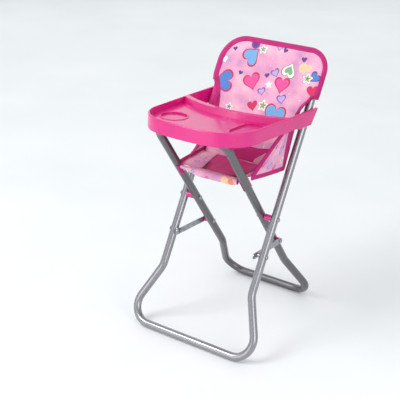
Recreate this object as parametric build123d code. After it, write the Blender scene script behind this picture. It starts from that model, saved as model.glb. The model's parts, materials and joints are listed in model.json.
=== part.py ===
"""Folding doll's high chair.

A wide front frame leans back and carries the backrest, a narrower rear frame leans forward and
carries the front of the tray. The two cross at a scissor rivet on each side, a hooked brace locks
each side open, and a moulded tray turns on the front frame's uprights.

Millimetres. +Z is up, the child faces -Y, and the origin is on the floor under the middle.
"""
from build123d import *
from math import asin, atan2, cos, degrees, hypot, radians, sin
import os

# Tubes
TUBE_R = 8.0
TUBE_BORE_R = 7.4
FIT = 0.05            # radial clearance of a pin in its hole
GAP = 0.3             # space between pieces that move past each other

# Front frame: foot bar, flared feet, uprights and backrest arch in one leaning plane
FRONT_LEAN = 30.15    # degrees back from upright
FRONT_FOOT_Y = -152.0
FRONT_HALF = 107.4
FRONT_FOOT_HALF = 159.3
FRONT_FOOT_R = 37.4
FRONT_FLARE_S = 122.9
ARCH_TOP_S = 605.0
ARCH_R = 45.0
ARCH_JOINT_S = 546.0

# Rear frame: foot bar, flared feet, legs and the arch that holds up the tray
REAR_LEAN = -34.52
REAR_FOOT_Y = 152.0
REAR_HALF = 77.8
REAR_FOOT_HALF = 112.1
REAR_FOOT_R = 38.0
REAR_FLARE_S = 125.6
SUPPORT_TOP_S = 519.4
SUPPORT_R = 25.0
SUPPORT_JOINT_S = 397.0
FLARE_R = 40.0

# Joint axes, all along X: (y, z)
SCISSOR = (-12.8, 247.7)
TRAY_PIVOT = (93.1, 430.0)
HOOK = (-50.9, 182.0)
BRACE = (35.8, 177.0)

# Hardware
RIVET_R = 2.5
HEAD_R = 4.5
SPACER_R = 6.0
TRAY_PIN_R = 3.0
PLUG_LENGTH = 26.0

# Braces: flat steel bars in the space between the frames
BRACE_INNER_X = 91.6
BRACE_THICK = 2.0
BRACE_HALF_HEIGHT = 6.0
BRACE_TIP = 9.0
HOOK_SLOT = 7.0

# Tray, in its own level frame with the pivot at the origin
TRAY_TILT = 3.8
RIM_Z = 14.5
SKIRT_Z = -12.5
RIM_ROUND = 2.4
WALL = 3.2
DECK_DEPTH = 11.0
DECK_THICK = 2.4
TRAY_REAR_HALF = 123.2
TRAY_SIDE_HALF = 113.6
TRAY_SIDE_Y = -245.6
TRAY_FRONT_R = 380.0
TRAY_CORNER_R = 72.0
ARM_INNER_X = 117.2
RIDGE_Y = -113.0
RIDGE_R = 229.0
RIDGE_TOP = 11.0
RIDGE_RUN = 16.0
RING_CENTRE = (-69.0, -192.0)
RING_R = 25.5
RING_WALL = 2.6
RING_DEPTH = 2.0
DISH_CENTRE = (80.0, -172.0)
DISH_HALF = (20.5, 40.0)

# Fabric
BACK_BOTTOM_S = 374.0
POCKET_BOTTOM_S = 529.0
BACK_TOP_S = 622.0
BACK_HALF = 123.5
BACK_R = 58.0
SHOULDER = 30.0
BACK_LOWER_HALF = 90.5
FRONT_COVER = 4.0
REAR_COVER = 2.0
SEAT_HALF = 66.0
SEAT_Y = (-76.0, 24.0)
SEAT_Z = (328.0, 335.0)
ROLL_R = 6.0
ROLL_Z = 340.0
WING_OUTLINE = ((-51, 353), (-51, 338), (26, 333), (105, 466), (100, 470))
WING_X = 87.5
WING_THICK = 1.6
WING_TURN = 3.06
BINDING = 7.0
TAB_S = (382.0, 408.0)
TAB_RIVET_S = 389.0
TAB_RIVET_R = 1.5


def frame_plane(foot_y, lean):
    """Plane of a frame: x across, y up along the tubes from the foot bar, z out of the front."""
    normal = (0, -cos(radians(lean)), sin(radians(lean)))
    return Plane(origin=(0, foot_y, TUBE_R), x_dir=(1, 0, 0), z_dir=normal)


FRONT = frame_plane(FRONT_FOOT_Y, FRONT_LEAN)
REAR = frame_plane(REAR_FOOT_Y, REAR_LEAN)


def across(x0, x1, y, z, radius):
    """Cylinder along X between two x values."""
    centre = Plane(origin=(min(x0, x1), y, z), x_dir=(0, 1, 0), z_dir=(1, 0, 0))
    return centre * extrude(Circle(radius), abs(x1 - x0))


def both(solid):
    """The solid and its mirror image."""
    return [solid, mirror(solid, Plane.YZ)]


def bent_tube(plane, points, radii):
    """Hollow tube along straight runs joined by arcs, in a frame's plane."""
    path = plane * FilletPolyline(*points, radius=radii)
    start = Plane(origin=path @ 0, z_dir=path % 0)
    outside = sweep(start * Circle(TUBE_R), path)
    inside = sweep(start * Circle(TUBE_BORE_R), path)
    return outside - inside


def leg_loop(plane, half, foot_half, foot_r, flare_s, top_s):
    """Foot bar with its flared feet and two legs."""
    points = [(half, top_s), (half, flare_s), (foot_half, 0)]
    points += [(-x, s) for x, s in reversed(points)]
    return bent_tube(plane, points, [FLARE_R, foot_r, foot_r, FLARE_R])


def arch(plane, half, joint_s, top_s, radius):
    """Arch that closes a frame at the top, from just above its joints."""
    start = joint_s + GAP
    points = [(half, start), (half, top_s), (-half, top_s), (-half, start)]
    return bent_tube(plane, points, [radius, radius])


def tube_core(plane, half, s0, s1, radius):
    """Solid cylinder in line with a leg, from s0 to s1."""
    base = plane * Plane(origin=(half, s0, 0), x_dir=(1, 0, 0), z_dir=(0, 1, 0))
    return base * extrude(Circle(radius), s1 - s0)


def drill(solid, axis, radius, x0, x1):
    """Holes along X through both sides of a frame."""
    for tool in both(across(x0, x1, *axis, radius)):
        solid = solid - tool
    return solid


def rounded_outline(half, bottom_s, top_s, radius, bottom_half):
    """Panel outline in a frame's plane with two round top corners."""
    corners = [(bottom_half, bottom_s), (half, bottom_s + SHOULDER), (half, top_s)]
    corners += [(-x, s) for x, s in reversed(corners)]
    face = make_face(Polyline(*corners, close=True))
    top = [v for v in face.vertices() if v.Y > top_s - 1]
    return fillet(top, radius)


# ---------------------------------------------------------------- front frame and its hardware
def front_leg_loop():
    loop = leg_loop(FRONT, FRONT_HALF, FRONT_FOOT_HALF, FRONT_FOOT_R, FRONT_FLARE_S, ARCH_JOINT_S)
    reach = (FRONT_HALF - TUBE_R - 1, FRONT_HALF + TUBE_R + 1)
    loop = drill(loop, SCISSOR, RIVET_R + FIT, *reach)
    loop = drill(loop, HOOK, RIVET_R + FIT, *reach)
    return drill(loop, TRAY_PIVOT, TRAY_PIN_R + FIT, *reach)


def backrest_arch():
    return arch(FRONT, FRONT_HALF, ARCH_JOINT_S, ARCH_TOP_S, ARCH_R)


def joint_plugs(plane, half, joint_s):
    reach = PLUG_LENGTH / 2
    return both(tube_core(plane, half, joint_s - reach, joint_s + reach, TUBE_BORE_R - FIT))


def saddle(solid, plane, half, axis):
    """Shapes a spacer to sit on a leg: takes the leg's round surface away from it."""
    reach = 3 * TUBE_R
    s = (axis[1] - TUBE_R) / abs(cos(radians(FRONT_LEAN if plane is FRONT else REAR_LEAN)))
    return solid - tube_core(plane, half, s - reach, s + reach, TUBE_R)


def support_joint_plugs():
    """Plugs of the tray support arch, drilled for the seat tabs' rivets."""
    hole = across(REAR_HALF - TUBE_R, REAR_HALF - 2.0 + FIT, *tab_axis(), TAB_RIVET_R + FIT)
    plugs = joint_plugs(REAR, REAR_HALF, SUPPORT_JOINT_S)
    return [plug - tool for plug, tool in zip(plugs, both(hole))]


def scissor_rivets():
    """Shank through both frames, domed head outside, flat tail inside."""
    outer_x = FRONT_HALF + TUBE_R + FIT
    inner_x = REAR_HALF - TUBE_R - GAP
    shank = across(inner_x - 1.4, outer_x + 1.6, *SCISSOR, RIVET_R)
    head = across(outer_x, outer_x + 1.8, *SCISSOR, HEAD_R)
    head = fillet(head.edges().group_by(Axis.X)[-1], 1.2)
    tail = across(inner_x - 1.4, inner_x, *SCISSOR, HEAD_R)
    return both(head + shank + tail)


def scissor_spacers():
    """Plastic spacer between the frames, seated on the front frame."""
    start = REAR_HALF + TUBE_R + GAP
    spacer = across(start, FRONT_HALF, *SCISSOR, SPACER_R)
    spacer = saddle(spacer, FRONT, FRONT_HALF, SCISSOR)
    return both(spacer - across(start - 1, FRONT_HALF, *SCISSOR, RIVET_R + FIT))


def hook_pins():
    """Headed pin that the brace's hook drops over, riveted through the front leg."""
    outer_x = FRONT_HALF + TUBE_R + FIT
    bar_x = BRACE_INNER_X - GAP
    shank = across(bar_x - 1.7, outer_x + 1.4, *HOOK, RIVET_R)
    head = across(bar_x - 1.7, bar_x, *HOOK, HEAD_R)
    dome = across(outer_x, outer_x + 1.6, *HOOK, HEAD_R)
    dome = fillet(dome.edges().group_by(Axis.X)[-1], 1.0)
    return both(head + shank + dome)


def hook_collars():
    start = BRACE_INNER_X + BRACE_THICK + GAP
    collar = across(start, FRONT_HALF, *HOOK, HEAD_R)
    collar = saddle(collar, FRONT, FRONT_HALF, HOOK)
    return both(collar - across(start - 1, FRONT_HALF, *HOOK, RIVET_R + FIT))


def tray_pivot_pins():
    """Pin riveted through the upright; its end turns in the tray arm's blind hole."""
    head_x = FRONT_HALF - TUBE_R - FIT
    shank = across(head_x - 1.2, ARM_INNER_X + 3.8, *TRAY_PIVOT, TRAY_PIN_R)
    head = across(head_x - 1.2, head_x, *TRAY_PIVOT, TRAY_PIN_R + 2)
    return both(head + shank)


# ---------------------------------------------------------------- rear frame and its hardware
def rear_leg_loop():
    loop = leg_loop(REAR, REAR_HALF, REAR_FOOT_HALF, REAR_FOOT_R, REAR_FLARE_S, SUPPORT_JOINT_S)
    reach = (REAR_HALF - TUBE_R - 1, REAR_HALF + TUBE_R + 1)
    loop = drill(loop, SCISSOR, RIVET_R + FIT, *reach)
    loop = drill(loop, tab_axis(), TAB_RIVET_R + FIT, REAR_HALF - TUBE_R - 1, REAR_HALF)
    return drill(loop, BRACE, RIVET_R + FIT, *reach)


def tray_support_arch():
    return arch(REAR, REAR_HALF, SUPPORT_JOINT_S, SUPPORT_TOP_S, SUPPORT_R)


def brace_rivets():
    inner_x = REAR_HALF - TUBE_R - FIT
    outer_x = BRACE_INNER_X + BRACE_THICK + GAP
    shank = across(inner_x - 1.2, outer_x + 1.2, *BRACE, RIVET_R)
    tail = across(inner_x - 1.4, inner_x, *BRACE, HEAD_R)
    head = across(outer_x, outer_x + 1.5, *BRACE, HEAD_R)
    head = fillet(head.edges().group_by(Axis.X)[-1], 1.0)
    return both(tail + shank + head)


def brace_spacers():
    """Plastic spacer between the rear leg and the brace, seated on the leg."""
    end = BRACE_INNER_X - GAP
    spacer = across(REAR_HALF, end, *BRACE, SPACER_R)
    spacer = saddle(spacer, REAR, REAR_HALF, BRACE)
    return both(spacer - across(REAR_HALF, end + 1, *BRACE, RIVET_R + FIT))


def brace():
    """Right-hand bar: rivet hole at the rear leg, slanted hook slot at the front leg."""
    length = hypot(HOOK[0] - BRACE[0], HOOK[1] - BRACE[1])
    slope = degrees(atan2(HOOK[1] - BRACE[1], BRACE[0] - HOOK[0]))
    reach = length + BRACE_TIP
    bar = Pos(reach / 2, 0) * SlotCenterToCenter(reach, 2 * BRACE_HALF_HEIGHT)
    slot_run = 16.0
    slot_turn = 55.0
    slot = Pos(length, 0) * Rot(0, 0, slot_turn) * Pos(-slot_run / 2, 0)
    bar = bar - slot * SlotCenterToCenter(slot_run, HOOK_SLOT) - Circle(RIVET_R + FIT)
    side = Plane(origin=(BRACE_INNER_X, *BRACE), x_dir=(0, -1, 0), z_dir=(-1, 0, 0))
    plate = extrude(bar, BRACE_THICK)
    plate = chamfer(plate.edges().group_by(Axis.Z)[0] + plate.edges().group_by(Axis.Z)[-1], 0.2)
    return side * Pos(0, 0, -BRACE_THICK) * Rot(0, 0, slope) * plate


def seat_tab():
    """Cloth tab on the inner and back side of the right rear leg, at the seat's front corner."""
    outside = tube_core(REAR, REAR_HALF, *TAB_S, TUBE_R + GAP + 1.0)
    ring = outside - tube_core(REAR, REAR_HALF, TAB_S[0] - 1, TAB_S[1] + 1, TUBE_R + GAP)
    height = TAB_S[1] - TAB_S[0]
    reach = 2 * TUBE_R
    inner_side = Pos(REAR_HALF - reach / 2, sum(TAB_S) / 2) * Box(reach, height, 2 * reach)
    tab = ring & (REAR * inner_side.rotate(Axis((REAR_HALF, 0, 0), (0, 1, 0)), -25))
    return tab - across(REAR_HALF - reach, REAR_HALF, *tab_axis(), TAB_RIVET_R + FIT)


def tab_axis():
    """(y, z) of the rivet that holds a seat tab."""
    along = radians(REAR_LEAN)
    return REAR_FOOT_Y + TAB_RIVET_S * sin(along), TUBE_R + TAB_RIVET_S * cos(along)


def tab_rivets():
    """Rivet through the tab and the leg wall into the plug."""
    face_x = REAR_HALF - TUBE_R - GAP - 1.0 - FIT
    head = across(face_x - 1.1, face_x, *tab_axis(), 2 * TAB_RIVET_R)
    shank = across(face_x, REAR_HALF - 2.0, *tab_axis(), TAB_RIVET_R)
    return both(head + shank)


# ---------------------------------------------------------------- tray
def tray_outline():
    """D-shaped face: shallow front arc, large front corners, sides that spread to the rear."""
    side = Line((TRAY_REAR_HALF, 0), (TRAY_SIDE_HALF, TRAY_SIDE_Y))
    front = RadiusArc((TRAY_SIDE_HALF, TRAY_SIDE_Y), (-TRAY_SIDE_HALF, TRAY_SIDE_Y), TRAY_FRONT_R)
    other = Line((-TRAY_SIDE_HALF, TRAY_SIDE_Y), (-TRAY_REAR_HALF, 0))
    back = Line((-TRAY_REAR_HALF, 0), (TRAY_REAR_HALF, 0))
    face = make_face([side, front, other, back])
    corners = [v for v in face.vertices() if v.Y < TRAY_SIDE_Y + 1]
    return fillet(corners, TRAY_CORNER_R)


def slab(face, z0, z1):
    return Pos(0, 0, z0) * extrude(face, z1 - z0)


def ridge():
    """Raised rear edge of the deck, swept round its centre: a thin hat section."""
    deck_z = RIM_Z - DECK_DEPTH
    rear = RIDGE_R
    front = RIDGE_R + RIDGE_RUN
    crest = rear + RIDGE_TOP
    section = [(front + 2, deck_z), (front, deck_z), (crest, RIM_Z), (rear, RIM_Z)]
    section += [(rear, SKIRT_Z + 8), (rear + DECK_THICK, SKIRT_Z + 8)]
    section += [(rear + DECK_THICK, RIM_Z - WALL), (crest - 2, RIM_Z - WALL)]
    section += [(front - DECK_THICK, deck_z - DECK_THICK)]
    section += [(front + 2, deck_z - DECK_THICK)]
    half_sweep = degrees(asin(TRAY_REAR_HALF / RIDGE_R))
    profile = Plane.XZ * make_face(Polyline(*section, close=True))
    turned = Rot(0, 0, -90 - half_sweep) * revolve(profile, Axis.Z, 2 * half_sweep)
    return Pos(0, RIDGE_Y + RIDGE_R) * turned


def shallow_dish(outline, inner):
    """Raised ring and the thicker floor under it, and the recess to take away."""
    deck_z = RIM_Z - DECK_DEPTH
    boss = slab(outline, deck_z - RING_DEPTH - DECK_THICK, deck_z + 1.2)
    boss = fillet(boss.edges().group_by(Axis.Z)[-1], 1.0)
    recess = slab(inner, deck_z - RING_DEPTH, deck_z + 5)
    return boss, recess


def arm_end():
    """Thick end of the right arm, with the blind hole that turns on the upright's pin."""
    lean = 0.7
    rear_top = 16.0
    bottom = -16.0
    rear_bottom = rear_top - lean * (RIM_Z - bottom)
    side = [(-60, RIM_Z), (-60, SKIRT_Z), (-50, bottom), (rear_bottom, bottom), (rear_top, RIM_Z)]
    face = make_face(Polyline(*side, close=True))
    low = [v for v in face.vertices() if v.Y < bottom + 1]
    face = fillet(low, 5)
    across_arm = Plane(origin=(ARM_INNER_X, 0, 0), x_dir=(0, 1, 0), z_dir=(1, 0, 0))
    block = across_arm * extrude(face, TRAY_REAR_HALF - ARM_INNER_X + 2)
    spread = (TRAY_REAR_HALF - TRAY_SIDE_HALF) / -TRAY_SIDE_Y
    rear_x = TRAY_REAR_HALF + 20 * spread
    front_x = TRAY_REAR_HALF - 70 * spread
    outside = Polyline((rear_x, 20), (front_x, -70), (front_x + 30, -70), (rear_x + 30, 20), close=True)
    block = block - slab(make_face(outside), bottom - 1, RIM_Z + 1)
    outer_face = block.faces().sort_by(Axis.X)[-1]
    block = fillet(outer_face.edges().filter_by(Axis.Z, reverse=True), RIM_ROUND)
    return block - across(ARM_INNER_X - 1, ARM_INNER_X + 4.4, 0, 0, TRAY_PIN_R + FIT)


def support_ribs():
    """Two ribs that rest on the support arch, with a lip in front of it."""
    bar_y = -235.2
    bar_z = -9.6
    deck_under = RIM_Z - DECK_DEPTH - DECK_THICK
    rest = Pos(45, bar_y, (deck_under + bar_z + TUBE_R + GAP) / 2)
    pad = rest * Box(4, 2 * TUBE_R, deck_under - bar_z - TUBE_R - GAP)
    lip_y = bar_y - TUBE_R - 1 - GAP
    lip = Pos(45, lip_y, (deck_under + bar_z) / 2) * Box(4, 2, deck_under - bar_z)
    return both(pad + lip)


def tray_shell():
    outline = tray_outline()
    inner = offset(outline, -WALL)
    arms_end = Pos(0, -30) * Rectangle(4 * TRAY_REAR_HALF, 60)
    skirt = slab(outline, SKIRT_Z, RIM_Z)
    skirt = fillet(skirt.edges().group_by(Axis.Z)[-1].filter_by(lambda e: e.center().Y < -1), RIM_ROUND)
    skirt = skirt - slab(inner, SKIRT_Z - 1, RIM_Z + 1)
    skirt = skirt - slab(arms_end, SKIRT_Z - 1, RIM_Z + 1)

    deck_z = RIM_Z - DECK_DEPTH
    behind = Pos(0, RIDGE_Y + RIDGE_R) * Circle(RIDGE_R + RIDGE_RUN + 1)
    deck_face = offset(outline, -WALL / 2) - behind
    deck = slab(deck_face, deck_z - DECK_THICK, deck_z)
    rear_ridge = ridge() & slab(offset(outline, -WALL / 2), SKIRT_Z, RIM_Z)

    ring = Pos(*RING_CENTRE) * Circle(RING_R + RING_WALL)
    ring_recess = Pos(*RING_CENTRE) * Circle(RING_R)
    dish_x, dish_y = DISH_HALF
    oblong = Pos(*DISH_CENTRE) * Rot(0, 0, 90)
    dish = oblong * SlotOverall(2 * (dish_y + RING_WALL), 2 * (dish_x + RING_WALL))
    dish_recess = oblong * SlotOverall(2 * dish_y, 2 * dish_x)

    shell = skirt + deck + rear_ridge
    recesses = []
    for outer_face, inner_face in ((ring, ring_recess), (dish, dish_recess)):
        boss, recess = shallow_dish(outer_face, inner_face)
        shell = shell + boss
        recesses.append(recess)
    for recess in recesses:
        shell = shell - recess
    for piece in both(arm_end()) + support_ribs():
        shell = shell + piece
    return Pos(0, *TRAY_PIVOT) * Rot(-TRAY_TILT, 0, 0) * shell


# ---------------------------------------------------------------- fabric
def back_outline():
    return rounded_outline(BACK_HALF, POCKET_BOTTOM_S, BACK_TOP_S, BACK_R, BACK_HALF - 3.5)


def back_front_panel():
    """Padded front layer: a wide pocket face over the arch and a narrower strip to the seat."""
    pocket = offset(back_outline(), -4)
    strip_height = POCKET_BOTTOM_S + 8 - BACK_BOTTOM_S
    strip = Pos(0, BACK_BOTTOM_S + strip_height / 2) * Rectangle(2 * BACK_LOWER_HALF, strip_height)
    return FRONT * slab(pocket + strip, TUBE_R + GAP, TUBE_R + GAP + FRONT_COVER)


def back_rear_panel():
    start = -TUBE_R - GAP - REAR_COVER
    return FRONT * slab(offset(back_outline(), -4), start, start + REAR_COVER)


def back_binding():
    """Sewn edge round the pocket, outside the arch."""
    tube_edge = rounded_outline(FRONT_HALF + TUBE_R + GAP, 0, ARCH_TOP_S + TUBE_R + GAP,
                                ARCH_R + TUBE_R + GAP, FRONT_HALF + TUBE_R + GAP)
    return FRONT * slab(back_outline() - tube_edge, -3, 3)


def seat_panel():
    depth = SEAT_Y[1] - SEAT_Y[0]
    height = SEAT_Z[1] - SEAT_Z[0]
    middle = Pos(0, sum(SEAT_Y) / 2, sum(SEAT_Z) / 2)
    pad = Box(2 * SEAT_HALF, depth, height)
    return middle * fillet(pad.edges().filter_by(Axis.X), 2.5)


def seat_front_roll():
    y = SEAT_Y[0] - GAP - ROLL_R
    return across(-SEAT_HALF, SEAT_HALF, y, ROLL_Z, ROLL_R)


def on_wing(face):
    """Stands a flat outline, drawn as (y, z), on the right wing's slightly turned plane."""
    upright = Plane(origin=(WING_X, WING_OUTLINE[0][0], 0), x_dir=(0, 1, 0), z_dir=(1, 0, 0))
    moved = Pos(-WING_OUTLINE[0][0], 0) * face
    sheet = upright * extrude(moved, WING_THICK)
    return sheet.rotate(Axis((WING_X, WING_OUTLINE[0][0], 0), (0, 0, 1)), -WING_TURN)


def wing_faces():
    outline = make_face(Polyline(*WING_OUTLINE, close=True))
    middle = offset(outline, -BINDING, kind=Kind.INTERSECTION)
    return middle, outline - middle


# ---------------------------------------------------------------- write the parts
def make_parts():
    wing, wing_binding = (on_wing(face) for face in wing_faces())
    right_brace = brace()
    right_tab = seat_tab()
    return {
        "front_leg_loop": [front_leg_loop()],
        "backrest_arch": [backrest_arch()],
        "arch_joint_plugs": joint_plugs(FRONT, FRONT_HALF, ARCH_JOINT_S),
        "scissor_rivets": scissor_rivets(),
        "scissor_spacers": scissor_spacers(),
        "hook_pins": hook_pins(),
        "hook_collars": hook_collars(),
        "tray_pivot_pins": tray_pivot_pins(),
        "rear_leg_loop": [rear_leg_loop()],
        "tray_support_arch": [tray_support_arch()],
        "support_joint_plugs": support_joint_plugs(),
        "tab_rivets": tab_rivets(),
        "brace_rivets": brace_rivets(),
        "brace_spacers": brace_spacers(),
        "brace_right": [right_brace],
        "brace_left": [mirror(right_brace, Plane.YZ)],
        "tray_shell": [tray_shell()],
        "back_front_panel": [back_front_panel()],
        "back_rear_panel": [back_rear_panel()],
        "back_binding": [back_binding()],
        "seat_panel": [seat_panel()],
        "seat_front_roll": [seat_front_roll()],
        "wing_right": [wing],
        "wing_left": [mirror(wing, Plane.YZ)],
        "wing_binding_right": [wing_binding],
        "wing_binding_left": [mirror(wing_binding, Plane.YZ)],
        "seat_tab_right": [right_tab],
        "seat_tab_left": [mirror(right_tab, Plane.YZ)],
    }


os.makedirs("parts", exist_ok=True)
for name, pieces in make_parts().items():
    solids = [solid for piece in pieces for solid in piece.solids()]
    body = solids[0] if len(solids) == 1 else Compound(children=solids)
    export_step(body, f"parts/{name}.step")
    print(name, len(solids), "solids")
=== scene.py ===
"""Looks of the folding doll's high chair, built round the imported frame.

Design numbers are millimetres in the part's own frame and become metres in point(). A cloth piece
starts as a flat cut with its print on it, and a function then bends the cut into place.
"""
import json
from math import cos, hypot, pi, radians, sin

import bpy
from mathutils import Matrix, Vector, noise
from mathutils.geometry import delaunay_2d_cdt


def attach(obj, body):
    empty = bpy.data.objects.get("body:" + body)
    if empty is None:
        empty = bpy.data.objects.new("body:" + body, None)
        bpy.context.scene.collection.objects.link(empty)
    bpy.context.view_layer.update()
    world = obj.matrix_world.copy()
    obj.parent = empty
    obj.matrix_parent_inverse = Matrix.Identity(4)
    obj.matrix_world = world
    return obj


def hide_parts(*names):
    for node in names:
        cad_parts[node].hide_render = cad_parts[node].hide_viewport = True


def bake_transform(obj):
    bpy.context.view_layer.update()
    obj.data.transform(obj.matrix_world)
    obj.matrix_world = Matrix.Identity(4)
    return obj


MM = 0.001
FRONT_LEAN = radians(30.15)
REAR_LEAN = radians(34.52)
FRONT_FOOT_Y = -152.0
REAR_FOOT_Y = 152.0
REAR_LEG_X = 77.8
TUBE_R = 8.0

# Backrest, in the front frame's plane: x across, s up along the tubes, out to the front
BACK_HALF = 123.5
BACK_TOP = 618.5
BACK_R = 58.0                  # left corner
RIGHT_BACK_R = 45.0
POCKET_BOTTOM = 527.0
LEFT_POCKET_END = 518.0        # where the binding stops
RIGHT_POCKET_END = 523.0
POCKET_TUCK = 5.0              # how far the pocket's sides turn in over the last part
TUCK_START = 533.0
TUCK_RUN = 21.0
LOWER_HALF = 94.0
CORNER_START = 488.0           # where the lower back starts to spread to the right corner
LEFT_CORNER_START = 458.0
BACK_BOTTOM = 369.0
BACK_BOTTOM_TUCK = 5.5         # how much further in the left edge ends than the right
TUBE_COVER = 9.4               # height of the cloth over the tubes' middle
SEAM_LIFT = 4.0                # height of the pocket's outer seam
SEAM_HALF = 1.6                # half the seam's thickness
FRONT_ROUND = 13.0             # how far in from the seam the front layer is curved
REAR_ROUND = 10.0
SEWING_INSET = 4.5             # distance of the layers' edges from the outline
FACING_S = (446.0, 516.0)

# Seat
SEAT_FLOOR_Z = 333.0
SEAT_FRONT_Y = -79.0
SEAT_REAR_Y = 28.0
ROLL_CENTRE = (-82.5, 340.0)
ROLL_R = 6.2
ROLL_HALF = 66.0
SEAT_REAR_Z = 333.0            # height of the seat's sides at the rear
RIGHT_FRONT_Z = 349.0          # and at the front
LEFT_FRONT_Z = 334.0
WING_TOP_HALF = 109.5          # the wings' top corners stay inside the tray's arms
TAB_S = (382.0, 408.0)         # cloth tabs, along the rear legs
TAB_INNER_R = 8.35
TAB_OUTER_R = 9.35

# Sewing
TAPE_PAST_EDGE = 1.0
STITCH_PITCH = 3.2
STITCH_LENGTH = 2.1
STITCH_WIDTH = 0.5

CAMERA_PLACE = (0.9881, -1.4860, 1.0570)
CAMERA_BACK = (0.5323, -0.7407, 0.4099)
CAMERA_LENS = 88.08

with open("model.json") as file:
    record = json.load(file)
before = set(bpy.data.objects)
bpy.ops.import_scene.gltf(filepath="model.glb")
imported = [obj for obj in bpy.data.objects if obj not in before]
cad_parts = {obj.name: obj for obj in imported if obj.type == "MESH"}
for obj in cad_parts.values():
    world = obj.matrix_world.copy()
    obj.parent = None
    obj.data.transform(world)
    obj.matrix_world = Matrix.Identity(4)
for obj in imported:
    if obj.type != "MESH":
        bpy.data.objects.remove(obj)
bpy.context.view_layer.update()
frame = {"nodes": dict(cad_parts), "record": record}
nodes = frame["nodes"]


def point(x, y, z):
    """Place in metres from millimetres."""
    return Vector((x, y, z)) * MM


def on_back(x, s, out):
    """Place on the backrest: x across, s up along the tubes, out in front of their middle."""
    y = FRONT_FOOT_Y + s * sin(FRONT_LEAN) - out * cos(FRONT_LEAN)
    z = TUBE_R + s * cos(FRONT_LEAN) + out * sin(FRONT_LEAN)
    return point(x, y, z)


def smooth(t):
    """Eased step from 0 to 1, held at its ends."""
    t = min(max(t, 0.0), 1.0)
    return t * t * (3 - 2 * t)


def mix(a, b, t):
    """Value the share t of the way from a to b."""
    return a + (b - a) * t


# ---------------------------------------------------------------- materials
def colour(hex_code):
    """Linear colour from an sRGB hex code."""
    parts = [int(hex_code[i:i + 2], 16) / 255 for i in (0, 2, 4)]
    linear = [c / 12.92 if c <= 0.04045 else ((c + 0.055) / 1.055) ** 2.4 for c in parts]
    return (*linear, 1.0)


class Shader:
    """A Principled material with helpers that add nodes to it."""

    def __init__(self, name, base, roughness, **values):
        self.material = bpy.data.materials.new(name)
        self.material.use_nodes = True
        self.tree = self.material.node_tree
        self.bsdf = self.tree.nodes["Principled BSDF"]
        self.bsdf.inputs["Base Color"].default_value = base
        self.bsdf.inputs["Roughness"].default_value = roughness
        for socket, value in values.items():
            self.bsdf.inputs[socket.replace("_", " ")].default_value = value

    def add(self, kind, **settings):
        node = self.tree.nodes.new(kind)
        for key, value in settings.items():
            if key in node.inputs:
                node.inputs[key].default_value = value
            else:
                setattr(node, key, value)
        return node

    def link(self, out, socket):
        self.tree.links.new(out, socket)

    def coords(self, name=None):
        """Object coordinates, or a stored attribute such as the flat cut's own."""
        if name:
            return self.add("ShaderNodeAttribute", attribute_name=name).outputs["Vector"]
        return self.add("ShaderNodeTexCoord").outputs["Object"]

    def noise(self, where, scale, detail=2.0):
        node = self.add("ShaderNodeTexNoise", Scale=scale, Detail=detail)
        self.link(where, node.inputs["Vector"])
        return node.outputs["Fac"]

    def ramp(self, fac, stops):
        node = self.add("ShaderNodeValToRGB")
        while len(node.color_ramp.elements) < len(stops):
            node.color_ramp.elements.new(0.5)
        for element, (place, shade) in zip(node.color_ramp.elements, stops):
            element.position = place
            element.color = shade
        self.link(fac, node.inputs["Fac"])
        return node.outputs["Color"]

    def blend(self, fac, a, b):
        """Colour mix; a, b and fac are sockets or values."""
        node = self.add("ShaderNodeMix", data_type="RGBA")
        for socket, value in ((node.inputs[0], fac), (node.inputs[6], a), (node.inputs[7], b)):
            if isinstance(value, bpy.types.NodeSocket):
                self.link(value, socket)
            else:
                socket.default_value = value
        return node.outputs[2]

    def vary_roughness(self, fac, low, high):
        node = self.add("ShaderNodeMapRange")
        node.inputs["To Min"].default_value = low
        node.inputs["To Max"].default_value = high
        self.link(fac, node.inputs["Value"])
        self.link(node.outputs["Result"], self.bsdf.inputs["Roughness"])

    def bump(self, height, strength, distance):
        node = self.add("ShaderNodeBump", Strength=strength, Distance=distance)
        self.link(height, node.inputs["Height"])
        if self.bsdf.inputs["Normal"].is_linked:
            earlier = self.bsdf.inputs["Normal"].links[0].from_socket
            self.link(earlier, node.inputs["Normal"])
        self.link(node.outputs["Normal"], self.bsdf.inputs["Normal"])

    def weave(self, where, pitch, strength):
        """Crossed threads, pitch metres apart."""
        waves = []
        for direction in ("X", "Y"):
            node = self.add("ShaderNodeTexWave", Scale=pi / (10 * pitch), Distortion=0.6)
            node.bands_direction = direction
            self.link(where, node.inputs["Vector"])
            waves.append(node.outputs["Fac"])
        product = self.add("ShaderNodeMath", operation="MULTIPLY")
        self.link(waves[0], product.inputs[0])
        self.link(waves[1], product.inputs[1])
        self.bump(product.outputs[0], strength, 0.0002)


def tube_lacquer(name, shade, dark, metallic, roughness):
    """Satin metallic lacquer: fine flake, faint dust and a little uneven gloss."""
    shader = Shader(name, colour(shade), roughness, Metallic=metallic, Coat_Weight=0.35,
                    Coat_Roughness=0.18)
    where = shader.coords()
    flake = shader.noise(where, 900, 3)
    base = shader.ramp(flake, [(0.3, colour(dark)), (0.7, colour(shade))])
    shader.link(base, shader.bsdf.inputs["Base Color"])
    shader.vary_roughness(shader.noise(where, 45), roughness - 0.06, roughness + 0.08)
    shader.bump(flake, 0.08, 0.0002)
    return shader.material


def zinc():
    """Bright zinc-plated steel with a cloudy gloss."""
    shader = Shader("zinc_steel", colour("b9bcc2"), 0.3, Metallic=1.0)
    where = shader.coords()
    cloud = shader.noise(where, 160, 4)
    base = shader.ramp(cloud, [(0.3, colour("8f9299")), (0.75, colour("c6c8cc"))])
    shader.link(base, shader.bsdf.inputs["Base Color"])
    shader.vary_roughness(cloud, 0.24, 0.42)
    return shader.material


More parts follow.
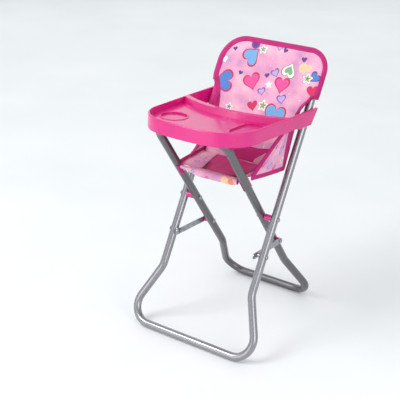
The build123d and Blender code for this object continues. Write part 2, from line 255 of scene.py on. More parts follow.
def moulded_plastic(name, shade, deep, roughness):
    """Glossy moulded plastic: very slight colour drift, fine orange peel and light scuffs."""
    shader = Shader(name, colour(shade), roughness, Coat_Weight=0.4, Coat_Roughness=0.08,
                    Subsurface_Weight=0.12, Subsurface_Scale=0.004)
    where = shader.coords()
    base = shader.ramp(shader.noise(where, 14), [(0.3, colour(deep)), (0.7, colour(shade))])
    shader.link(base, shader.bsdf.inputs["Base Color"])
    scuffs = shader.noise(where, 120, 5)
    shader.vary_roughness(scuffs, roughness - 0.05, roughness + 0.1)
    shader.bump(shader.noise(where, 420, 2), 0.05, 0.0003)
    return shader.material


def printed_cloth():
    """Light pink cloth: cloudy ground with pale flecks, and the print from the cut's ink."""
    shader = Shader("printed_cloth", colour("f7b6d4"), 0.78, Sheen_Weight=0.25,
                    Sheen_Roughness=0.5)
    where = shader.coords("cut")
    cloud = shader.noise(where, 26, 3)
    ground = shader.ramp(cloud, [(0.3, colour("b98fc0")), (0.43, colour("dc98bc")),
                                 (0.58, colour("eaaac5")), (0.72, colour("eebdc8"))])
    flecks = shader.ramp(shader.noise(where, 210, 2), [(0.66, (0, 0, 0, 1)), (0.76, (1, 1, 1, 1))])
    ground = shader.blend(flecks, ground, colour("ffe6f2"))
    ink = shader.add("ShaderNodeAttribute", attribute_name="ink")
    base = shader.blend(ink.outputs["Alpha"], ground, ink.outputs["Color"])
    shader.link(base, shader.bsdf.inputs["Base Color"])
    shader.weave(where, 0.0007, 0.35)
    return shader.material


def plain_cloth(name, shade, deep, pitch):
    """Woven cloth in one colour, with a cloudy drift towards a deeper one."""
    shader = Shader(name, colour(shade), 0.8, Sheen_Weight=0.1, Sheen_Roughness=0.5)
    where = shader.coords("cut")
    base = shader.ramp(shader.noise(where, 60, 4), [(0.3, colour(deep)), (0.7, colour(shade))])
    shader.link(base, shader.bsdf.inputs["Base Color"])
    shader.weave(where, pitch, 0.4)
    return shader.material


SILVER = tube_lacquer("silver_lacquer", "a3a2a7", "8f8e93", 0.9, 0.25)
# The grey_tube parts are the same silver as the front tubes. This darker grey copy of the silver
# is painted shade for the dark reflections on those rear tubes.
SILVER_WITH_PAINTED_SHADE = tube_lacquer("silver_lacquer_with_painted_shade", "757378", "676569", 0.85, 0.3)
ZINC = zinc()
PINK = moulded_plastic("pink_plastic", "d9127f", "cf0d78", 0.22)
MAGENTA = moulded_plastic("magenta_plastic", "d41480", "c00f70", 0.28)
PLUG = moulded_plastic("plug_plastic", "35353a", "2b2b30", 0.5)
PRINT = printed_cloth()
LINING = plain_cloth("magenta_lining", "c3126e", "a80c5b", 0.0006)
BINDING = plain_cloth("binding_tape", "c40f76", "a80b65", 0.0009)
FACING = plain_cloth("pink_facing", "e23490", "d02482", 0.0008)
THREAD = plain_cloth("thread", "e8549f", "d8408c", 0.0004)

# The grey_tube parts take the silver lacquer with painted shade.
FINISHES = {
    "silver_tube": SILVER, "grey_tube": SILVER_WITH_PAINTED_SHADE, "zinc_steel": ZINC, "pink_plastic": PINK,
    "deep_pink_plastic": MAGENTA, "plug_plastic": PLUG,
}
for row in frame["record"]["subparts"]:
    finish = FINISHES.get(row["material_slot"])
    if finish:
        mesh = nodes[row["node"]].data
        mesh.materials.clear()
        mesh.materials.append(finish)


# ---------------------------------------------------------------- print motifs
def heart(steps=30):
    """Outline of a heart, about 2 across, tip at the bottom."""
    found = []
    for i in range(steps):
        t = 2 * pi * i / steps
        x = 16 * sin(t) ** 3
        y = 13 * cos(t) - 5 * cos(2 * t) - 2 * cos(3 * t) - cos(4 * t)
        found.append((x / 16, (y + 2.5) / 15))
    return found


def flower(petals=5, steps=50, depth=0.26):
    """Outline of a flower with round petals, of outer radius 1."""
    found = []
    for i in range(steps):
        t = 2 * pi * i / steps
        r = 1 - depth + depth * cos(petals * t)
        found.append((r * sin(t), r * cos(t)))
    return found


def star(points=5, inner=0.5):
    """Outline of a star, of outer radius 1."""
    found = []
    for i in range(2 * points):
        t = pi * i / points
        r = 1.0 if i % 2 == 0 else inner
        found.append((r * sin(t), r * cos(t)))
    return found


def disc(steps=18):
    """Outline of a round dot, of radius 1."""
    return [(cos(2 * pi * i / steps), sin(2 * pi * i / steps)) for i in range(steps)]


HEART = heart()
FLOWER = flower()
STAR = star()
DISC = disc()

CRIMSON = "c02a5c"
HOT = "ee4f97"
RED = "d3245c"
BLUE = "6fa9dc"
DEEP_BLUE = "4d7fc6"
NAVY = "5b3f86"
LAVENDER = "b9a6dc"
PURPLE = "7d4a9a"
GREEN = "7fa985"
DARK_GREEN = "5d7f5f"
CREAM = "f6f3e2"
OLIVE = "9aa455"
WHITE = "f6f0fa"
YELLOW = "f2c6a0"
ORANGE = "ee8a5a"
FLOOR_INK = "cb0f7a"
BAND_INK = "a20c60"
PATCH_INK = "c20f74"


def motif(shape, x, y, size, turn, layers):
    """Nested outlines of one motif. size is half its width in mm; layers are (scale, ink)."""
    found = []
    for scale, ink in layers:
        ring = []
        for px, py in shape:
            rx = px * cos(turn) - py * sin(turn)
            ry = px * sin(turn) + py * cos(turn)
            ring.append((x + rx * size * scale, y + ry * size * scale))
        found.append((ring, ink))
    return found


def edged_heart(x, y, size, degrees, fill, edge, width=0.22):
    return motif(HEART, x, y, size, radians(degrees), [(1, edge), (1 - width, fill)])


def banded_heart(x, y, size, degrees, fill, band, edge):
    return motif(HEART, x, y, size, radians(degrees), [(1, edge), (0.9, band), (0.58, fill)])


def blossom(x, y, size, degrees, petal, ring, heart_of, edge=None):
    layers = [(1.0, edge)] if edge else []
    layers += [(0.9, ring), (0.58, petal)]
    found = motif(FLOWER, x, y, size, radians(degrees), layers)
    return found + motif(DISC, x, y, size * 0.16, 0, [(1, heart_of)])


def back_print():
    """Motifs on the backrest: x across and s up the frame, in mm."""
    found = []
    found += motif(DISC, -44, 605, 10, 0, [(1, PURPLE), (0.7, NAVY)])
    found += edged_heart(-45, 582, 21, 140, BLUE, CRIMSON, 0.17)
    found += blossom(-24, 597, 11, 10, GREEN, CREAM, OLIVE)
    found += edged_heart(-88, 588, 5, 20, NAVY, NAVY)
    found += edged_heart(12, 605, 6.5, 0, LAVENDER, PURPLE)
    found += edged_heart(26, 602, 5.5, -20, NAVY, NAVY)
    found += edged_heart(72, 591, 6, 10, NAVY, NAVY)
    found += edged_heart(-61, 542, 5, -10, NAVY, NAVY)
    found += edged_heart(-29, 528, 19.5, 28, HOT, CRIMSON, 0.17)
    found += edged_heart(0, 547, 5.5, 15, NAVY, NAVY)
    found += edged_heart(17, 555, 9.5, 35, LAVENDER, PURPLE, 0.26)
    found += banded_heart(46, 567, 16.5, 165, GREEN, CREAM, DARK_GREEN)
    found += motif(STAR, 10, 530, 9.5, 0.3, [(1.15, LAVENDER), (0.95, WHITE)])
    found += edged_heart(-1, 513, 9, 25, LAVENDER, PURPLE, 0.26)
    found += edged_heart(38, 533, 18, 2, HOT, CRIMSON, 0.18)
    found += motif(DISC, 75, 575, 10, 0, [(1, YELLOW)])
    found += motif(DISC, 87, 577, 7, 0, [(1, YELLOW)])
    found += edged_heart(105, 560, 12, -35, DEEP_BLUE, NAVY, 0.22)
    found += blossom(91, 556, 13, 0, OLIVE, WHITE, DARK_GREEN, DEEP_BLUE)
    found += edged_heart(110, 532, 13, 10, RED, CRIMSON)
    found += edged_heart(-95, 519, 24, -80, DEEP_BLUE, CRIMSON, 0.16)
    found += edged_heart(-105, 562, 9, 30, WHITE, LAVENDER)
    found += edged_heart(47, 506, 10.5, 20, LAVENDER, PURPLE, 0.24)
    found += edged_heart(-12, 481, 11.5, 22, RED, CRIMSON)
    found += blossom(11, 487, 14, 0, GREEN, CREAM, OLIVE)
    found += edged_heart(42, 470, 25, -5, BLUE, CRIMSON, 0.13)
    found += blossom(-64, 470, 10, 0, OLIVE, WHITE, DARK_GREEN, LAVENDER)
    found += edged_heart(-40, 448, 11, -20, LAVENDER, PURPLE)
    found += edged_heart(66, 440, 6, 15, NAVY, NAVY)
    found += edged_heart(-72, 432, 15, 15, HOT, CRIMSON, 0.16)
    found += edged_heart(8, 430, 15, -25, HOT, CRIMSON, 0.16)
    found += edged_heart(62, 404, 6.5, 0, NAVY, NAVY)
    return found


# ---------------------------------------------------------------- cloth cuts
def anticlockwise(ring):
    area = sum(a[0] * b[1] - b[0] * a[1] for a, b in zip(ring, ring[1:] + ring[:1]))
    return ring if area > 0 else ring[::-1]


def add_object(name, mesh, material):
    """New object in the scene from a mesh in one material."""
    mesh.materials.append(material)
    piece = bpy.data.objects.new(name, mesh)
    bpy.context.scene.collection.objects.link(piece)
    return piece


def cut_cloth(name, outline, motifs, spacing, place, material, thickness=1.3):
    """Flat cut with its print, bent into place by place(x, y) and given the cloth's thickness."""
    points = [Vector(p) for p in anticlockwise(outline)]
    faces = [list(range(len(points)))]
    inks = [None]
    for ring, ink in motifs:
        start = len(points)
        points += [Vector(p) for p in anticlockwise(ring)]
        faces.append(list(range(start, len(points))))
        inks.append(colour(ink) if ink else None)
    low_x, high_x = min(p[0] for p in outline), max(p[0] for p in outline)
    low_y, high_y = min(p[1] for p in outline), max(p[1] for p in outline)
    columns = max(1, round((high_x - low_x) / spacing))
    rows = max(1, round((high_y - low_y) / spacing))
    for i in range(columns + 1):
        for j in range(rows + 1):
            shift = 0.5 if j % 2 else 0.0
            x = mix(low_x, high_x, (i + shift) / columns)
            points.append(Vector((x, mix(low_y, high_y, j / rows))))
    flat, _, triangles, _, _, sources = delaunay_2d_cdt(points, [], faces, 0, 1e-5)
    kept = [(t, max(s)) for t, s in zip(triangles, sources) if 0 in s]
    used = sorted({v for t, _ in kept for v in t})
    index = {v: i for i, v in enumerate(used)}
    mesh = bpy.data.meshes.new(name)
    mesh.from_pydata([place(*flat[v]) for v in used], [], [[index[v] for v in t] for t, _ in kept])
    cut = mesh.attributes.new("cut", "FLOAT_VECTOR", "POINT")
    for i, v in enumerate(used):
        cut.data[i].vector = (flat[v][0] * MM, flat[v][1] * MM, 0)
    ink = mesh.attributes.new("ink", "FLOAT_COLOR", "CORNER")
    for polygon, (_, source) in zip(mesh.polygons, kept):
        polygon.use_smooth = True
        shade = inks[source] or (0, 0, 0, 0)
        for corner in polygon.loop_indices:
            ink.data[corner].color = shade
    piece = add_object(name, mesh, material)
    thicken = piece.modifiers.new("thickness", "SOLIDIFY")
    thicken.thickness = thickness * MM
    thicken.offset = -1
    piece["flat_area"] = sum(
        abs((flat[t[1]] - flat[t[0]]).cross(flat[t[2]] - flat[t[0]])) / 2 for t, _ in kept
    ) * MM * MM
    return piece


def strip(name, rows, material):
    """Closed skin over rows of points, each row one section round the strip."""
    count = len(rows[0])
    mesh = bpy.data.meshes.new(name)
    faces = []
    for i in range(len(rows) - 1):
        for j in range(count):
            k = (j + 1) % count
            faces.append((i * count + j, i * count + k, (i + 1) * count + k, (i + 1) * count + j))
    faces.append(tuple(range(count))[::-1])
    faces.append(tuple((len(rows) - 1) * count + j for j in range(count)))
    mesh.from_pydata([p for row in rows for p in row], [], faces)
    along = 0.0
    cut = mesh.attributes.new("cut", "FLOAT_VECTOR", "POINT")
    for i, row in enumerate(rows):
        if i:
            along += (row[0] - rows[i - 1][0]).length
        across = 0.0
        for j, p in enumerate(row):
            if j:
                across += (p - row[j - 1]).length
            cut.data[i * count + j].vector = (along, across, 0)
    for polygon in mesh.polygons:
        polygon.use_smooth = len(polygon.vertices) == 4
    return add_object(name, mesh, material)


def tape(name, edge, inward, normal, widths, thick):
    """Binding folded over a cloth's edge. edge, inward, normal and widths match point by point;
    the tape reaches inward on both faces by its width. A face is a list of (place inward, share
    of the half thickness), and the other face mirrors it."""
    rows = []
    for i, (p, n, up, width) in enumerate(zip(edge, inward, normal, widths)):
        ripple = 0.12 * sin(i * 1.7) + 0.1 * sin(i * 0.9 + 1)
        half = (thick / 2 + ripple) * MM
        face = [(width, 0.35), (width - 0.6, 0.95), (width - 1.8, 0.8), (width * 0.45, 1.1)]
        face += [(0.6, 0.95), (-TAPE_PAST_EDGE, 0.35)]
        section = face + [(d, -h) for d, h in face[::-1]]
        rows.append([p + n * (d * MM) + up * (h * half) for d, h in section])
    return strip(name, rows, BINDING)


def stitches(name, line, up):
    """Row of single stitches lying on the cloth along a line, with the cloth's normals in up."""
    places = []
    walked = 0.0
    target = STITCH_PITCH / 2
    for i in range(1, len(line)):
        step = (line[i] - line[i - 1]).length / MM
        while walked + step >= target and step > 0:
            t = (target - walked) / step
            middle = line[i - 1].lerp(line[i], t)
            run = (line[i] - line[i - 1]).normalized()
            places.append((middle, run, up[i - 1].lerp(up[i], t).normalized()))
            target += STITCH_PITCH
        walked += step
    points, faces = [], []
    half = STITCH_LENGTH / 2 * MM
    wide = STITCH_WIDTH / 2 * MM
    for centre, run, normal in places:
        side = run.cross(normal).normalized()
        start = len(points)
        points += [
            centre - run * half, centre + run * half,
            centre - run * half * 0.6 + side * wide, centre + run * half * 0.6 + side * wide,
            centre - run * half * 0.6 - side * wide, centre + run * half * 0.6 - side * wide,
            centre - run * half * 0.5 + normal * wide * 1.4,
            centre + run * half * 0.5 + normal * wide * 1.4,
        ]
        for face in ((0, 6, 2), (0, 4, 6), (1, 3, 7), (1, 7, 5), (2, 6, 7, 3), (4, 5, 7, 6)):
            faces.append([start + k for k in face])
    mesh = bpy.data.meshes.new(name)
    mesh.from_pydata(points, [], faces)
    mesh.attributes.new("cut", "FLOAT_VECTOR", "POINT")
    for polygon in mesh.polygons:
        polygon.use_smooth = True
    return add_object(name, mesh, THREAD)


# ---------------------------------------------------------------- backrest
def corner_radius(side):
    return BACK_R if side < 0 else RIGHT_BACK_R


def pocket_end(side):
    return LEFT_POCKET_END if side < 0 else RIGHT_POCKET_END


def pocket_side(side, inset, step):
    """Half of the pocket's outline, from its lower end on one side up to the top's middle."""
    half = BACK_HALF - inset
    top = BACK_TOP - inset
    r = corner_radius(side) - inset
    low = pocket_end(side)
    found = []
    count = int((top - r - low) / step)
    for i in range(count):
        s = mix(low, top - r, i / count)
        tuck = POCKET_TUCK * (max(0.0, TUCK_START - s) / TUCK_RUN) ** 1.5
        found.append(((side * (half - tuck), s), (-side, 0.0)))
    arc = int(r * pi / 2 / step) + 1
    for i in range(arc):
        t = pi / 2 * i / arc
        place = (side * (half - r + r * cos(t)), top - r + r * sin(t))
        found.append((place, (-side * cos(t), -sin(t))))
    count = int((half - r) / step)
    for i in range(count):
        found.append(((side * mix(half - r, 0, i / count), top), (0.0, -1.0)))
    return found


def pocket_path(inset, step=6.0):
    """Points up the left side, over the top and down the right of the pocket, with directions
    that point inward."""
    left = pocket_side(-1, inset, step)
    right = pocket_side(1, inset, step)
    whole = left + [((0.0, BACK_TOP - inset), (0.0, -1.0))] + right[::-1]
    return [place for place, _ in whole], [inward for _, inward in whole]


def side_x(s, side, low, high):
    """Distance of the lower back's edge from the middle. The cloth hangs a little to the right,
    so the left edge turns in from the pocket more slowly and further."""
    start = CORNER_START if side > 0 else LEFT_CORNER_START
    power = 1.6 if side > 0 else 1.3
    rise = min(max((s - start) / (POCKET_BOTTOM - 3 - start), 0), 1) ** power
    return mix(low if side > 0 else low - BACK_BOTTOM_TUCK, high, rise)


def lower_side(side, low, high, steps=40):
    """Edge of the lower back, from the seat up to the pocket's corner, as distances from the
    middle and places up the tubes."""
    run = [mix(BACK_BOTTOM, POCKET_BOTTOM, i / steps) for i in range(steps + 1)]
    return [(side_x(s, side, low, high), s) for s in run]


def pocket_depth(x, s):
    """Distance inward from the pocket's outline."""
    r = corner_radius(x)
    qx = abs(x) - (BACK_HALF - r)
    qs = s - (BACK_TOP - r)
    if qx > 0 and qs > 0:
        return r - hypot(qx, qs)
    return min(BACK_HALF - abs(x), BACK_TOP - s)


def over_tube(depth):
    """Height of the front cloth over the arch, from its outline inward."""
    share = min(max(depth, 0) / FRONT_ROUND, 1)
    return mix(SEAM_LIFT + SEAM_HALF, TUBE_COVER, sin(pi / 2 * share))


def behind_tube(depth):
    """Height of the rear cloth; it climbs to the seam at the outline."""
    share = min(max(depth, 0) / REAR_ROUND, 1)
    return mix(SEAM_LIFT - SEAM_HALF, -TUBE_COVER, sin(pi / 2 * share))


def front_cover(x, s):
    """Height of the front layer: over the arch and tubes, a little hollow between them, and with
    slack ripples that die out at the edges."""
    depth = pocket_depth(x, s)
    wrap = smooth((s - 505) / 28)
    cover = mix(TUBE_COVER, over_tube(depth), wrap)
    hollow = smooth((depth - 18) / 50) * smooth((s - BACK_BOTTOM + 30) / 90)
    side_pull = smooth((LOWER_HALF + 4 - abs(x)) / 50)
    cover -= 3.4 * hollow * side_pull
    ripple = noise.noise(Vector((x / 48, s / 60, 3.1))) * 1.5
    ripple += noise.noise(Vector((x / 17, s / 34, 8.7))) * 0.5
    corner = sin((x * 0.8 + s) / 11) * 0.45 * smooth((540 - s) / 30) * smooth((abs(x) - 60) / 30)
    return cover + (ripple + corner) * smooth((depth - 8) / 20)


def back_front():
    """Printed front layer, from the seat to the top, with a magenta patch above the seat."""
    path, _ = pocket_path(SEWING_INSET)
    half = BACK_HALF - SEWING_INSET - TAPE_PAST_EDGE
    left = [(-x, s) for x, s in lower_side(-1, LOWER_HALF, half)]
    right = lower_side(1, LOWER_HALF, half)
    outline = [p for p in left if p[1] < LEFT_POCKET_END - 1] + path[1:-1]
    outline += [p for p in right[::-1] if p[1] < RIGHT_POCKET_END - 1]
    patch = [(-64, 408), (-30, 380), (-28, 372), (28, 372)]
    patch += [(30, 380), (64, 408), (30, 402), (-30, 402)]
    motifs = back_print() + [(patch, PATCH_INK)]
    return cut_cloth("back_print", outline, motifs, 4.0,
                     lambda x, s: on_back(x, s, front_cover(x, s)), PRINT)


def back_rear():
    """Plain rear layer of the pocket."""
    outline, _ = pocket_path(SEWING_INSET)

    def cover(x, s):
        depth = pocket_depth(x, s)
        sag = 2.0 * smooth((depth - 18) / 50)
        sag += noise.noise(Vector((x / 40, s / 40, 20))) * 0.8
        return on_back(x, s, behind_tube(depth) + sag * smooth((depth - 8) / 20))

    return cut_cloth("back_lining", outline, [], 6.0, cover, LINING)


def binding_reach(a):
    """How far the binding reaches in from the outline; a is the inward direction's x. It is widest
    on the left and narrowest on the right."""
    return 10.8 + 4.2 * a


def back_edge():
    """Wide binding that closes the pocket round the arch."""
    points, inward = pocket_path(0, 5.0)
    section = ((1.0, 0.1), (0.965, 1.2), (0.82, 0.9), (0.65, 1.5), (0.35, 1.7), (0.1, 1.2))
    rows = []
    for i, ((x, s), (a, b)) in enumerate(zip(points, inward)):
        ripple = 0.25 * sin(i * 1.3) + 0.2 * sin(i * 0.47 + 2)
        front, rear = [], []
        reach = binding_reach(a)
        for part, lift in section:
            depth = part * reach
            shift = depth + ripple * 0.5
            front.append((shift, over_tube(depth) + lift + ripple * 0.3))
            rear.append((shift, behind_tube(depth) - lift - ripple * 0.3))
        ring = front + [(-0.9, SEAM_LIFT + 1.4), (-0.9, SEAM_LIFT - 1.4)] + rear[::-1]
        rows.append([on_back(x + a * d, s + b * d, h) for d, h in ring])
    return strip("back_binding_tape", rows, BINDING)


def back_outward():
    """Direction straight out of the backrest's front."""
    return (on_back(0, 500, 1) - on_back(0, 500, 0)).normalized()


def back_stitches():
    """Stitch line near the binding's inner edge."""
    points, inward = pocket_path(0, 3.0)
    line = []
    for (x, s), (a, b) in zip(points, inward):
        depth = 0.78 * binding_reach(a)
        line.append(on_back(x + a * depth, s + b * depth, over_tube(depth) + 1.15))
    return stitches("back_stitches", line, [back_outward()] * len(line))


def back_side_tape(side):
    """Binding down the front layer's edge, below the pocket; the left one is wide at its top."""
    run = lower_side(side, LOWER_HALF + 0.5, BACK_HALF - SEWING_INSET)
    run = [p for p in run if p[1] < pocket_end(side) + 4]
    name = "back_tape_right" if side > 0 else "back_tape_left"
    edge = [on_back(side * x, s, front_cover(x, s) - 0.6) for x, s in run]
    up = back_outward()
    inward, normal = [], []
    for i in range(len(edge)):
        along = (edge[min(i + 1, len(edge) - 1)] - edge[max(i - 1, 0)]).normalized()
        across = up.cross(along).normalized()
        if across.x * side > 0:
            across = -across
        inward.append(across)
        normal.append(up)
    top_width = 13.0 if side < 0 else 5.0
    widths = [mix(4.5, top_width, smooth((s - 455) / 60)) for _, s in run]
    return tape(name, edge, inward, normal, widths, 3.2)


def back_facing():
    """Cloth over the front of the left tube, from behind the tray up to the pocket."""
    rows = []
    for i in range(16):
        s = mix(*FACING_S, i / 15)
        pull = 0.4 * sin(i * 1.1) + 0.3 * sin(i * 2.3)
        front = [(92.0, 7.4), (97.5, 8.0), (101.0, 8.8 + pull), (104.5, 9.3 + pull)]
        front += [(108.0, 9.3 + pull), (111.5, 8.4 + pull), (114.3, 6.2), (115.2, 5.0)]
        back = [(x - 0.8, out - 0.7) for x, out in front[::-1]]
        rows.append([on_back(-x, s, out) for x, out in front + back])
    return strip("back_facing_left", rows, FACING)


# ---------------------------------------------------------------- seat
def seat_height(x, y):
    """Height of the seat cloth: a shallow sling that climbs to the wings and the front roll."""
    wide = 1 - min(abs(x) / 66, 1) ** 2
    deep = max(0.0, 1 - ((y + 25) / 52) ** 2)
    floor = SEAT_FLOOR_Z - 5.0 * wide * deep
    rearward = min(max((y + 50) / 84, 0), 1)
    edge_z = mix(RIGHT_FRONT_Z if x > 0 else LEFT_FRONT_Z, SEAT_REAR_Z, rearward)
    height = mix(floor, edge_z, smooth((abs(x) - 46) / 42))
    front = smooth((-52 - y) / 27)
    height = mix(height, ROLL_CENTRE[1] + ROLL_R - 1.5, front)
    fold = noise.noise(Vector((x / 22, y / 26, 5.5))) * 2.0
    fold += noise.noise(Vector((x / 9, y / 14, 1.5))) * 0.7
    return height + fold * (1 - front)


def seat():
    """Seat cloth, with a magenta floor between two darker bands."""
    outline = [(-66, SEAT_FRONT_Y), (66, SEAT_FRONT_Y), (66.5, -58), (87, -52), (95, SEAT_REAR_Y),
               (-95, SEAT_REAR_Y), (-87, -52), (-66.5, -58)]
    lining = [(-26, -66), (26, -66), (46, -8), (54, 40), (-54, 40), (-46, -8)]
    band_left = [(-26, -66), (-46, -8), (-54, 40), (-58.5, 40), (-50.5, -8), (-30.5, -66)]
    band_right = [(-x, y) for x, y in band_left]
    motifs = [(lining, FLOOR_INK), (band_left, BAND_INK), (band_right, BAND_INK)]
    motifs += edged_heart(60, -14, 8, 160, RED, CRIMSON)
    motifs += motif(STAR, 74, -20, 7, 0.2, [(1.1, PURPLE), (0.9, WHITE)])
    motifs += edged_heart(-66, -30, 6, 20, LAVENDER, PURPLE)
    motifs += blossom(-74, 4, 7, 0, GREEN, CREAM, OLIVE)
    motifs += edged_heart(3, -58, 5, 0, NAVY, NAVY)
    return cut_cloth("seat_cloth", outline, motifs, 3.5,
                     lambda x, y: point(x, y, seat_height(x, y)), PRINT)


def seat_roll():
    """Front edge of the seat, rolled over and hung between the legs."""
    centre_y, centre_z = ROLL_CENTRE
    around = 2 * pi * ROLL_R

    def place(x, a):
        turn = 2 * pi * a / around
        sag = 2.5 * (1 - (x / ROLL_HALF) ** 2)
        swell = 1 + 0.12 * noise.noise(Vector((x / 18, cos(turn), sin(turn))))
        pinch = 1 - 0.35 * smooth((abs(x) - ROLL_HALF + 10) / 10)
        pinch *= 1 - 0.55 * smooth((-x - 14) / 46)
        r = ROLL_R * swell * pinch
        return point(x, centre_y - r * sin(turn), centre_z - sag + 1.15 * r * cos(turn))

    motifs = motif(DISC, 40, around * 0.3, 9, 0, [(1, YELLOW)])
    motifs += motif(DISC, 54, around * 0.27, 6, 0, [(1, ORANGE)])
    motifs += edged_heart(-34, around * 0.2, 4.5, 0, LAVENDER, PURPLE)
    motifs += edged_heart(0, around * 0.35, 6, 20, HOT, CRIMSON)
    outline = [(-ROLL_HALF, 0), (ROLL_HALF, 0), (ROLL_HALF, around), (-ROLL_HALF, around)]
    return cut_cloth("seat_roll", outline, motifs, 2.4, place, PRINT, 1.0)


# ---------------------------------------------------------------- wings
class Wing:
    """One side of the seat: a patch between a bottom edge and a top edge. u runs from the front
    corner to the rear, v from the bottom to the top. The print lies on a cut of width x height."""

    width = 150.0
    height = 110.0

    def __init__(self, side, top, bottom, bulge, rear_top):
        self.side = side
        self.rear_top = rear_top
        self.top = [Vector(p) for p in top]
        self.bottom = [Vector(p) for p in bottom]
        self.bulge = bulge

    @staticmethod
    def bezier(corners, u):
        a, b, c = corners
        return a * (1 - u) ** 2 + b * 2 * u * (1 - u) + c * u ** 2

    def rear(self, v):
        """Rear edge, sewn to the backrest's side."""
        s = mix(374.0, self.rear_top, v)
        x = self.side * (side_x(s, self.side, LOWER_HALF, WING_TOP_HALF) + 2)
        return on_back(x, s, mix(2.4, 10.4, smooth(v * 1.6))) / MM

    def place(self, u, v):
        low = self.bezier(self.bottom, u)
        high = self.bezier(self.top, u)
        p = low.lerp(high, v)
        p += (self.rear(v) - self.bottom[2].lerp(self.top[2], v)) * u ** 3
        swell = 16 * u * (1 - u) * v * (1 - v)
        ripple = noise.noise(Vector((u * 3.2, v * 2.2, 7.0 * self.side))) * 2.2 * swell
        p.x += self.side * (self.bulge * swell + ripple)
        return point(*p)

    def from_cut(self, x, y):
        return self.place(x / self.width, y / self.height)

    def flat_cut(self, steps=12):
        """Length and area of the tapered cloth that the wing was cut from."""
        grid = [[self.place(i / steps, j / steps) for j in range(steps + 1)]
                for i in range(steps + 1)]
        run = sum((grid[i + 1][-1] - grid[i][-1]).length for i in range(steps))
        area = 0.0
        for i in range(steps):
            for j in range(steps):
                across = grid[i + 1][j + 1] - grid[i][j]
                back = grid[i][j + 1] - grid[i + 1][j]
                area += across.cross(back).length / 2
        return run, area

    def edges(self, line, steps=30):
        """Edge points with inward and normal directions, for u or v along one edge."""
        edge, inward, normal = [], [], []
        for i in range(steps + 1):
            u, v, du, dv = line(i / steps)
            p = self.place(u, v)
            q = self.place(u + du * 0.04, v + dv * 0.04)
            ahead = self.place(*line(min(i + 1, steps) / steps)[:2])
            behind = self.place(*line(max(i - 1, 0) / steps)[:2])
            along = (ahead - behind).normalized()
            across = (q - p) - along * (q - p).dot(along)
            across = across.normalized() if across.length > 1e-7 else Vector((0, 0, 1))
            edge.append(p)
            inward.append(across)
            normal.append(along.cross(across).normalized())
        return edge, inward, normal


# The right wing's top edge is nearly straight and the left one's sags
RIGHT_WING = Wing(1, [(87, -68, 353), (91, 27, 414), (111.5, 102, 466)],
                  [(87, -68, 344), (91, -15, 336), (96.5, 33, 331)], 2.5, 524.0)
LEFT_WING = Wing(-1, [(-85, -62, 341), (-92, 34, 320), (-98, 84, 436)],
                 [(-85, -62, 333), (-90, -8, 331), (-96.5, 33, 330)], 1.5, 489.0)


def wing(name, shape, motifs):
    """Printed cloth of one wing."""
    outline = [(shape.width * i / 24, 0) for i in range(24)]
    outline += [(shape.width, shape.height * i / 12) for i in range(12)]
    outline += [(shape.width * (1 - i / 24), shape.height) for i in range(24)]
    outline += [(0, shape.height * (1 - i / 12)) for i in range(12)]
    piece = cut_cloth(name, outline, motifs, 5.0, shape.from_cut, PRINT, 1.2)
    piece.modifiers["thickness"].offset = 0
    return piece


def wing_tapes(shape, word):
    """Tapes on a wing's four edges; the rear one is a wide strip that tapers at both ends."""
    top = shape.edges(lambda t: (t, 1.0, 0, -1))
    bottom = shape.edges(lambda t: (t, 0.0, 0, 1))
    rear = shape.edges(lambda t: (1.0, t, -1, 0))
    front = shape.edges(lambda t: (0.0, t, 1, 0), 4)
    spread = [i / 30 for i in range(31)]
    return [
        tape(f"wing_top_tape_{word}", *top, [mix(8.0, 5.5, t) for t in spread], 3.0),
        tape(f"wing_bottom_tape_{word}", *bottom, [mix(8.0, 9.0, t) for t in spread], 3.0),
        tape(f"wing_rear_tape_{word}", *rear, [6 + 14 * sin(pi * t ** 0.8) for t in spread], 3.2),
        tape(f"wing_front_tape_{word}", *front, [12.0] * 5, 3.4),
    ]


def wing_print():
    """Motifs on a wing, in mm on its cut."""
    found = []
    found += edged_heart(62, 30, 9, 15, LAVENDER, PURPLE)
    found += edged_heart(98, 48, 9, -15, LAVENDER, PURPLE)
    found += edged_heart(88, 14, 7, 25, HOT, CRIMSON)
    found += blossom(118, 22, 8, 0, GREEN, CREAM, OLIVE)
    found += edged_heart(36, 58, 7, 10, HOT, CRIMSON)
    found += motif(STAR, 126, 66, 7, 0.2, [(1.1, LAVENDER), (0.9, WHITE)])
    found += edged_heart(104, 84, 8, 0, BLUE, CRIMSON)
    found += edged_heart(70, 78, 4, 0, NAVY, NAVY)
    return found


def crossing(piece):
    """Cloth that goes from the backrest's frame to the rear legs."""
    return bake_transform(piece)


def tab(side, word):
    """Cloth tab on the inner and back side of a rear leg, with a raised hem at both ends."""
    angles = [radians(mix(62, 248, j / 14)) for j in range(15)]
    rows = []
    for i in range(13):
        s = mix(*TAB_S, i / 12)
        hem = 0.35 if i in (1, 11) else 0.0
        ring = [on_leg(side, s, TAB_INNER_R, angle) for angle in angles]
        ring += [on_leg(side, s, TAB_OUTER_R + hem, angle) for angle in angles[::-1]]
        rows.append(ring)
    piece = strip(f"seat_tab_cloth_{word}", rows, BINDING)
    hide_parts(f"seat_tab_{word}")
    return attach(piece, "rear_frame")


def on_leg(side, s, radius, angle):
    """Point on a rear leg's surface; angle 0 is the outer side and 90 the back."""
    x = side * (REAR_LEG_X + radius * cos(angle))
    back = radius * sin(angle)
    y = REAR_FOOT_Y - s * sin(REAR_LEAN) + back * cos(REAR_LEAN)
    z = TUBE_R + s * cos(REAR_LEAN) + back * sin(REAR_LEAN)
    return point(x, y, z)


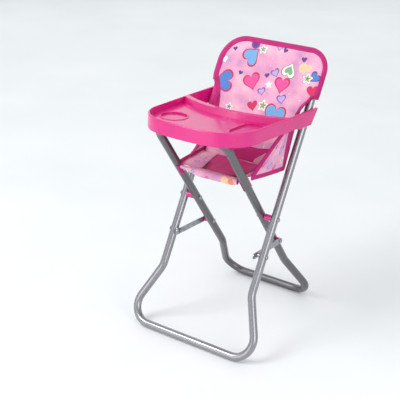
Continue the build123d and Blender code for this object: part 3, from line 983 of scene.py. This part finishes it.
print_front = back_front()
lining_rear = back_rear()
edge_tape = back_edge()
edge_stitches = back_stitches()
side_tapes = [back_side_tape(1), back_side_tape(-1)]
facing = back_facing()
for piece, slot_name in (
    (print_front, "printed_cloth"), (lining_rear, "lining_cloth"), (edge_tape, "binding_cloth"),
    (edge_stitches, "binding_cloth"), (side_tapes[0], "binding_cloth"),
    (side_tapes[1], "binding_cloth"), (facing, "binding_cloth"),
):
    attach(piece, "front_frame")
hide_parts("back_front_panel")
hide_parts("back_rear_panel")
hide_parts("back_binding")

seat_cloth = seat()
roll = seat_roll()
crossing(seat_cloth)
crossing(roll)
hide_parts("seat_panel")
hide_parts("seat_front_roll")

for shape, word in ((RIGHT_WING, "right"), (LEFT_WING, "left")):
    cloth = wing(f"wing_print_{word}", shape, wing_print())
    crossing(cloth)
    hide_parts(f"wing_{word}")
    tapes = wing_tapes(shape, word)
    for piece in tapes:
        crossing(piece)
    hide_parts(f"wing_binding_{word}")
    run, area = shape.flat_cut()
    tab(shape.side, word)


# ---------------------------------------------------------------- stage, light and camera
def add_floor():
    """Pale floor, much wider than the view."""
    mesh = bpy.data.meshes.new("floor")
    reach = 6.0
    mesh.from_pydata([(-reach, -reach, 0), (reach, -reach, 0), (reach, reach, 0),
                      (-reach, reach, 0)], [], [(0, 1, 2, 3)])
    shader = Shader("pale_floor", colour("eceef0"), 0.6)
    base = shader.ramp(shader.noise(shader.coords(), 3), [(0.3, colour("e9ecee")),
                                                         (0.7, colour("eff1f2"))])
    shader.link(base, shader.bsdf.inputs["Base Color"])
    add_object("floor", mesh, shader.material)


def add_light(name, place, target, size, power):
    """White rectangular lamp aimed at a target; size in metres and power in watts."""
    data = bpy.data.lights.new(name, "AREA")
    data.shape = "RECTANGLE"
    data.size, data.size_y = size
    data.energy = power
    light = bpy.data.objects.new(name, data)
    aim = Vector(target) - Vector(place)
    light.rotation_euler = aim.to_track_quat("-Z", "Y").to_euler()
    light.location = place
    bpy.context.scene.collection.objects.link(light)


def add_world():
    world = bpy.data.worlds.new("studio")
    world.use_nodes = True
    background = world.node_tree.nodes["Background"]
    background.inputs["Color"].default_value = (0.93, 0.96, 0.97, 1)
    background.inputs["Strength"].default_value = 0.8
    bpy.context.scene.world = world


def add_camera():
    """Camera that looks against CAMERA_BACK, with its right axis level."""
    back = Vector(CAMERA_BACK).normalized()
    right = Vector((-back.y, back.x, 0)).normalized()
    up = back.cross(right)
    data = bpy.data.cameras.new("camera")
    data.lens = CAMERA_LENS
    data.sensor_width = 36
    data.clip_start = 0.05
    data.clip_end = 50
    camera = bpy.data.objects.new("camera", data)
    turn = Matrix((right, up, back)).transposed().to_4x4()
    camera.matrix_world = Matrix.Translation(CAMERA_PLACE) @ turn
    bpy.context.scene.collection.objects.link(camera)
    bpy.context.scene.camera = camera


add_floor()
add_world()
add_light("key", (-1.2, -1.5, 2.3), (0, 0, 0.35), (1.2, 1.2), 34)
add_light("fill", (2.0, -0.9, 1.2), (0, 0, 0.3), (1.4, 1.4), 14)
add_light("sheen_panel", (-1.5, 2.1, 1.5), (0, -0.1, 0.45), (4.4, 2.6), 10)
add_light("low_front", (-0.5, -2.2, 0.5), (0, 0, 0.3), (1.6, 0.9), 7)
add_camera()

bpy.context.scene.view_settings.view_transform = "Standard"
